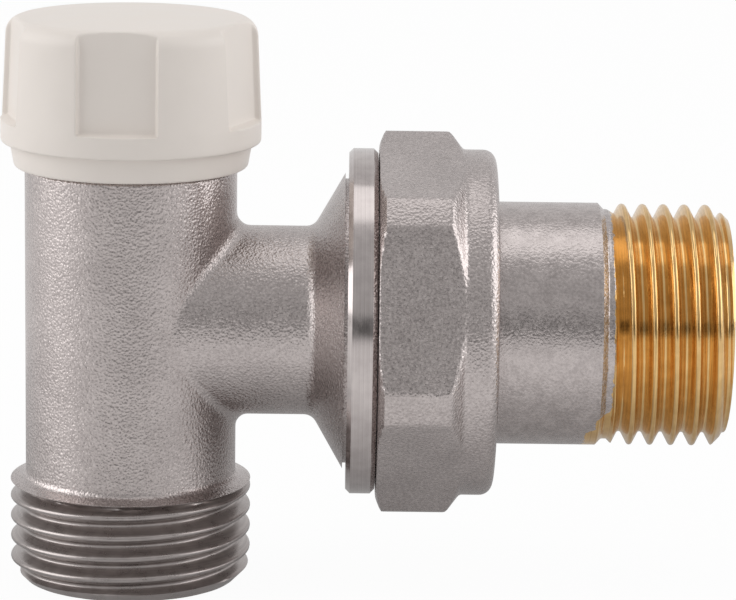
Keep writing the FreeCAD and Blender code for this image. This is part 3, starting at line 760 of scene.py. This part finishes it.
def part_plated_brass(name):
    """Bare turned brass thread, and a nickel plated neck up to where the thread begins.

    The plating's end steps back twice towards the underside, and is ragged. These sizes are in metres.
    """
    finish = Finish(bpy.data.materials.new(name))
    along = finish.along("X")
    height = finish.along("Z")
    rings = finish.tool_rings(along, 8000)
    haze = finish.noise(900, 3.0)
    grain = finish.noise(4200, 2.0)
    ragged = finish.noise(1500, 2.0)
    step = finish.spread(height, 0.0146, 0.0152, PLATING_END_BELOW, PLATING_END_STEP)
    rise = finish.spread(height, 0.0160, 0.0172, 0.0, PLATING_END_RISE)
    plated = along < step + rise + PLATING_RAGGED * (ragged - 0.5)
    nickel = finish.blend(
        finish.spread(grain * 0.6 + haze * 0.4, 0.3, 0.7), (0.43, 0.385, 0.375, 1), (0.62, 0.56, 0.545, 1))
    brass = finish.blend(
        finish.spread(haze * 0.4 + rings * 0.6, 0.3, 0.7), (0.64, 0.41, 0.175, 1), (0.86, 0.57, 0.26, 1))
    finish.surface({
        "Base Color": finish.blend(plated, brass, nickel),
        "Metallic": 1.0,
        "Roughness": finish.spread(grain, 0.3, 0.7, 0.12, 0.22) + plated * 0.08,
        "Normal": finish.bump(rings * (0.3 - 0.3 * plated) + grain * 1.5 * plated, 0.00003, 1.0),
    })
    return finish.owner


tail = cad_copy("tail_piece")
take_off_skin(tail, lambda places: max(map(branch_distance, places)) > TAIL_BORE_R + JUST
              and min(place.x for place in places) > TAIL_NECKING_LOW - JUST)
skin = thread_skin(
    PIPE_CREST_R, PIPE_ROOT_R, PIPE_PITCH, TAIL_CREST_AT, TAIL_NECKING_LOW + SEAM, TAIL_END, tail_limits)
end_face(skin, TAIL_END, TAIL_BORE_R + SEAM)
join_skin(tail, skin, ALONG_BRANCH, lambda place: place.x > TAIL_END - 1)
for face in tail.faces:
    face.material_index = 0
tail_piece = finished_piece("tail_piece_tube", tail, [part_plated_brass("part_plated_tail_brass")])
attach(tail_piece, "tail_piece")
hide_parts("tail_piece")


# Studio
# The valve stands on a white sheet under a flat softbox, with a taller one on each side. The sheet's glow,
# as metal mirrors it, holds a painted shadow under the valve. The room is grey, greyer in front, where the
# camera and its stand show dark in the metal.
VALVE_MIDDLE = Vector((0.02, 0, 0.025))
SHEET_SIZE = 1.6
SHEET_DROP = 0.0001
SHEET_GLOW = 0.96
SHEET_MIRRORED_GLOW = 0.7
SHEET_OPEN = 0.92
# The glow that metal mirrors holds a painted shadow: this grey at its middle under the valve, the open
# level away from it.
SHEET_PAINTED_SHADOW = 0.36
PAINTED_SHADOW_MIDDLE = (0.02, 0.03)
ROOM_BACK = 0.64
ROOM_FRONT = 0.53
STAND_DARK = 0.13
BACKDROP_MIRRORED = 0.4


def softbox(name, place, width, depth, brightness):
    """A flat lamp that shines on the valve; its brightness is that of its own face."""
    lamp = bpy.data.lights.new(name, "AREA")
    lamp.shape = "RECTANGLE"
    lamp.size = width
    lamp.size_y = depth
    lamp.energy = brightness * math.pi * width * depth
    holder = bpy.data.objects.new(name, lamp)
    holder.location = place
    holder.rotation_euler = (VALVE_MIDDLE - place).to_track_quat("-Z", "Y").to_euler()
    bpy.context.scene.collection.objects.link(holder)


def ray_kind(finish, *kinds):
    """One for a ray of any of these kinds, and else nought."""
    rays = [finish.node("ShaderNodeLightPath", output="Is {} Ray".format(kind)) for kind in kinds]
    return sum(rays[1:], rays[0])


def grey_tone(finish, value):
    return finish.node("ShaderNodeCombineColor", {}, {"Red": value, "Green": value, "Blue": value})


def white_sheet(name):
    """Matt white that the camera sees as plain white, and sees through from below.

    Mirrored in metal its glow carries a painted shadow, greyer under the valve, where the valve would shade
    it.
    """
    finish = Finish(bpy.data.materials.new(name))
    seen = ray_kind(finish, "Camera")
    mirrored = ray_kind(finish, "Glossy", "Transmission")
    finish.surface({"Base Color": (0.78, 0.78, 0.78, 1), "Roughness": 0.9})
    # Painted shadow: the glow that glossy rays see turns grey round a middle under the valve.
    aside = finish.along("X") - PAINTED_SHADOW_MIDDLE[0]
    behind = finish.along("Y") - PAINTED_SHADOW_MIDDLE[1]
    painted_shadow = finish.spread(
        aside * aside * 0.4 + behind * behind, 0.0005, 0.005, SHEET_PAINTED_SHADOW, SHEET_OPEN)
    glow = finish.node("ShaderNodeEmission", {}, {
        "Color": finish.blend(seen, grey_tone(finish, painted_shadow), (1, 1, 1, 1))})
    lit = Field(finish, finish.tree.nodes["Principled BSDF"].outputs[0])
    mix = finish.node("ShaderNodeMixShader", {}, {
        0: seen * SHEET_GLOW + mirrored * SHEET_MIRRORED_GLOW, 1: lit, 2: glow})
    below = finish.node("ShaderNodeNewGeometry", output="Backfacing")
    clear = finish.node("ShaderNodeBsdfTransparent")
    one_way = finish.node("ShaderNodeMixShader", {}, {0: below, 1: mix, 2: clear})
    finish.feed(finish.tree.nodes["Material Output"].inputs["Surface"], one_way)
    return finish.owner


sheet = bmesh.new()
bmesh.ops.create_grid(sheet, x_segments=1, y_segments=1, size=SHEET_SIZE / 2,
                      matrix=Matrix.Translation((0, 0, -SHEET_DROP)))
sheet_data = bpy.data.meshes.new("floor")
sheet.to_mesh(sheet_data)
sheet.free()
sheet_data.materials.append(white_sheet("white_sheet"))
floor = bpy.data.objects.new("floor", sheet_data)
bpy.context.scene.collection.objects.link(floor)

softbox("softbox_above", VALVE_MIDDLE + Vector((0, 0.06, 0.6)), 0.4, 0.34, 0.75)
softbox("softbox_left", VALVE_MIDDLE + Vector((-0.55, -0.04, 0.25)), 0.6, 0.48, 1.75)
softbox("softbox_right", VALVE_MIDDLE + Vector((0.55, -0.04, 0.25)), 0.6, 0.48, 1.55)

world = bpy.data.worlds.new("studio")
bpy.context.scene.world = world
room = Finish(world)
sight = room.node("ShaderNodeTexCoord", output="Generated")
across = room.along("X", sight)
behind = room.along("Y", sight)
above = room.along("Z", sight)
front = room.spread(behind, -0.6, -0.05, 1.0, 0.0)
stand_width = room.spread(across * across, 0.06, 0.3, 1.0, 0.0)
stand_height = room.spread(above, 0.0, 0.06) * room.spread(above, 0.2, 0.28, 1.0, 0.0)
stand = front * stand_width * stand_height
brightness = ROOM_BACK + front * (ROOM_FRONT - ROOM_BACK) + stand * (STAND_DARK - ROOM_FRONT)
whiter_behind = room.spread(behind, 0.6, 0.95, 0.0, BACKDROP_MIRRORED)
white = ray_kind(room, "Camera") + ray_kind(room, "Glossy", "Transmission") * whiter_behind
room.feed(room.tree.nodes["Background"].inputs["Color"],
          room.blend(white, grey_tone(room, brightness), (1, 1, 1, 1)))

# Camera
# A long lens in front of the valve, a little above it and rolled slightly, as in the photograph.
AIM = Vector((0.02058, 0, 0.024742))
AZIMUTH = math.radians(-0.522)
ELEVATION = math.radians(11.77)
ROLL = math.radians(0.841)
DISTANCE = 0.3241
FOCAL_MM = 182.5

backward = Vector((math.sin(AZIMUTH) * math.cos(ELEVATION),
                   -math.cos(AZIMUTH) * math.cos(ELEVATION), math.sin(ELEVATION)))
level = Vector((math.cos(AZIMUTH), math.sin(AZIMUTH), 0))
upward = backward.cross(level)
right = math.cos(ROLL) * level + math.sin(ROLL) * upward
up = math.cos(ROLL) * upward - math.sin(ROLL) * level
lens = bpy.data.cameras.new("camera")
lens.lens = FOCAL_MM
lens.sensor_width = 36.0
lens.clip_start = 0.01
camera = bpy.data.objects.new("camera", lens)
camera.matrix_world = Matrix.Translation(AIM + backward * DISTANCE) @ Matrix(
    (right, up, backward)).transposed().to_4x4()
bpy.context.scene.collection.objects.link(camera)
bpy.context.scene.camera = camera
bpy.context.scene.view_settings.view_transform = "Standard"
